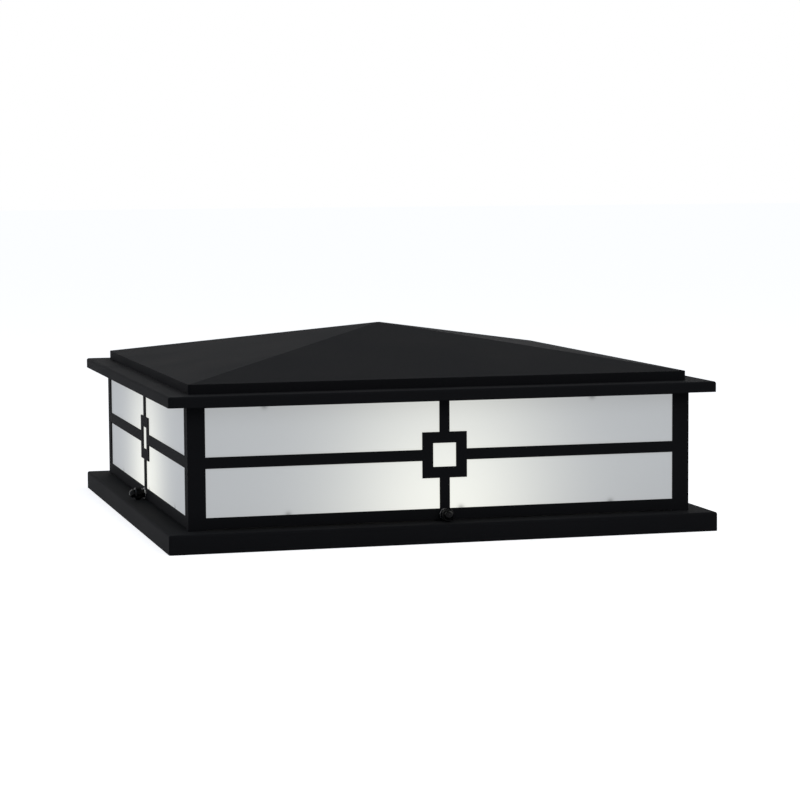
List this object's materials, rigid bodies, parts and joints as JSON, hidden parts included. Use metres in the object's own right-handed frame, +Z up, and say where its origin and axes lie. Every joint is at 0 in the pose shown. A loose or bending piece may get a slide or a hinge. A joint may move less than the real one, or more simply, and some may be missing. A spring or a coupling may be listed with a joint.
{
  "type": "deck post cap light",
  "caption": "Square deck post cap light: black tray, lift-off lantern with frosted panels and crossed bars, wide eave and low pyramid roof, held by thumb nuts over one bulb.",
  "frame": {"origin": "centre of the tray's lower edge", "axes": "+Z up; -Y is the front face, -X the side seen on the left of the picture"},
  "size_m": [0.6096, 0.6096, 0.2203],
  "materials": {
    "black_frame": "satin black powder coat",
    "frosted_glass": "acid-etched white, satin",
    "spring_steel": "black, satin",
    "zinc_steel": "zinc plated",
    "black_steel": "black oxide, satin",
    "black_rubber": "matte",
    "black_phenolic": "moulded, semi-matte",
    "brass": "plain",
    "green_steel": "green dyed zinc",
    "frosted_bulb": "frosted white",
    "bulb_aluminium": "bright"
  },
  "bodies": {
    "base": {"base_tray": "black_frame", "wire_grommet": "black_rubber", "clamp_tabs": "black_frame", "clamp_studs": "zinc_steel", "lamp_bracket": "zinc_steel", "lamp_holder": "black_phenolic", "screw_shell": "brass", "centre_contact": "brass", "holder_nipple": "zinc_steel", "nipple_locknut": "zinc_steel", "ground_screw": "green_steel"},
    "bulb": {"bulb_globe": "frosted_bulb", "bulb_base": "bulb_aluminium", "bulb_insulator": "black_phenolic", "bulb_contact": "brass"},
    "lantern": {"corner_post_front_left": "black_frame", "corner_post_front_right": "black_frame", "corner_post_back_right": "black_frame", "corner_post_back_left": "black_frame", "bottom_rail_front": "black_frame", "bottom_rail_right": "black_frame", "bottom_rail_back": "black_frame", "bottom_rail_left": "black_frame", "top_rail_front": "black_frame", "top_rail_right": "black_frame", "top_rail_back": "black_frame", "top_rail_left": "black_frame", "window_bars_front": "black_frame", "window_bars_right": "black_frame", "window_bars_back": "black_frame", "window_bars_left": "black_frame", "frosted_panel_front": "frosted_glass", "frosted_panel_right": "frosted_glass", "frosted_panel_back": "frosted_glass", "frosted_panel_left": "frosted_glass", "panel_clips_front": "spring_steel", "panel_clips_right": "spring_steel", "panel_clips_back": "spring_steel", "panel_clips_left": "spring_steel", "eave_pan": "black_frame", "eave_screws": "black_steel", "roof_pyramid": "black_frame", "roof_tabs": "black_frame", "roof_screws": "black_steel"},
    "washer_front": {"clamp_washer_front": "zinc_steel"},
    "washer_right": {"clamp_washer_right": "zinc_steel"},
    "washer_back": {"clamp_washer_back": "zinc_steel"},
    "washer_left": {"clamp_washer_left": "zinc_steel"},
    "nut_front": {"thumb_nut_front": "black_steel"},
    "nut_right": {"thumb_nut_right": "black_steel"},
    "nut_back": {"thumb_nut_back": "black_steel"},
    "nut_left": {"thumb_nut_left": "black_steel"}
  },
  "joints": [
    {"name": "lantern_lift", "type": "slide", "parent": "base", "child": "lantern", "axis": [0, 0, 1], "range_m": [0, 0.15]},
    {"name": "bulb_out", "type": "slide", "parent": "base", "child": "bulb", "axis": [1, 0, 0], "range_m": [0, 0.04]},
    {"name": "washer_front_slide", "type": "slide", "parent": "base", "child": "washer_front", "axis": [0, -1, 0], "range_m": [0, 0.0022]},
    {"name": "nut_front_turn", "type": "hinge", "parent": "washer_front", "child": "nut_front", "pos_m": [0, -0.28, 0.0282], "axis": [0, -1, 0], "range_deg": [0, 720]},
    {"name": "washer_right_slide", "type": "slide", "parent": "base", "child": "washer_right", "axis": [1, 0, 0], "range_m": [0, 0.0022]},
    {"name": "nut_right_turn", "type": "hinge", "parent": "washer_right", "child": "nut_right", "pos_m": [0.28, 0, 0.0282], "axis": [1, 0, 0], "range_deg": [0, 720]},
    {"name": "washer_back_slide", "type": "slide", "parent": "base", "child": "washer_back", "axis": [0, 1, 0], "range_m": [0, 0.0022]},
    {"name": "nut_back_turn", "type": "hinge", "parent": "washer_back", "child": "nut_back", "pos_m": [0, 0.28, 0.0282], "axis": [0, 1, 0], "range_deg": [0, 720]},
    {"name": "washer_left_slide", "type": "slide", "parent": "base", "child": "washer_left", "axis": [-1, 0, 0], "range_m": [0, 0.0022]},
    {"name": "nut_left_turn", "type": "hinge", "parent": "washer_left", "child": "nut_left", "pos_m": [-0.28, 0, 0.0282], "axis": [-1, 0, 0], "range_deg": [0, 720]}
  ],
  "couplings": [
    {"joint": "washer_front_slide", "follows": "nut_front_turn", "m_per_rad": 0.00016843},
    {"joint": "washer_right_slide", "follows": "nut_right_turn", "m_per_rad": 0.00016843},
    {"joint": "washer_back_slide", "follows": "nut_back_turn", "m_per_rad": 0.00016843},
    {"joint": "washer_left_slide", "follows": "nut_left_turn", "m_per_rad": 0.00016843}
  ]
}
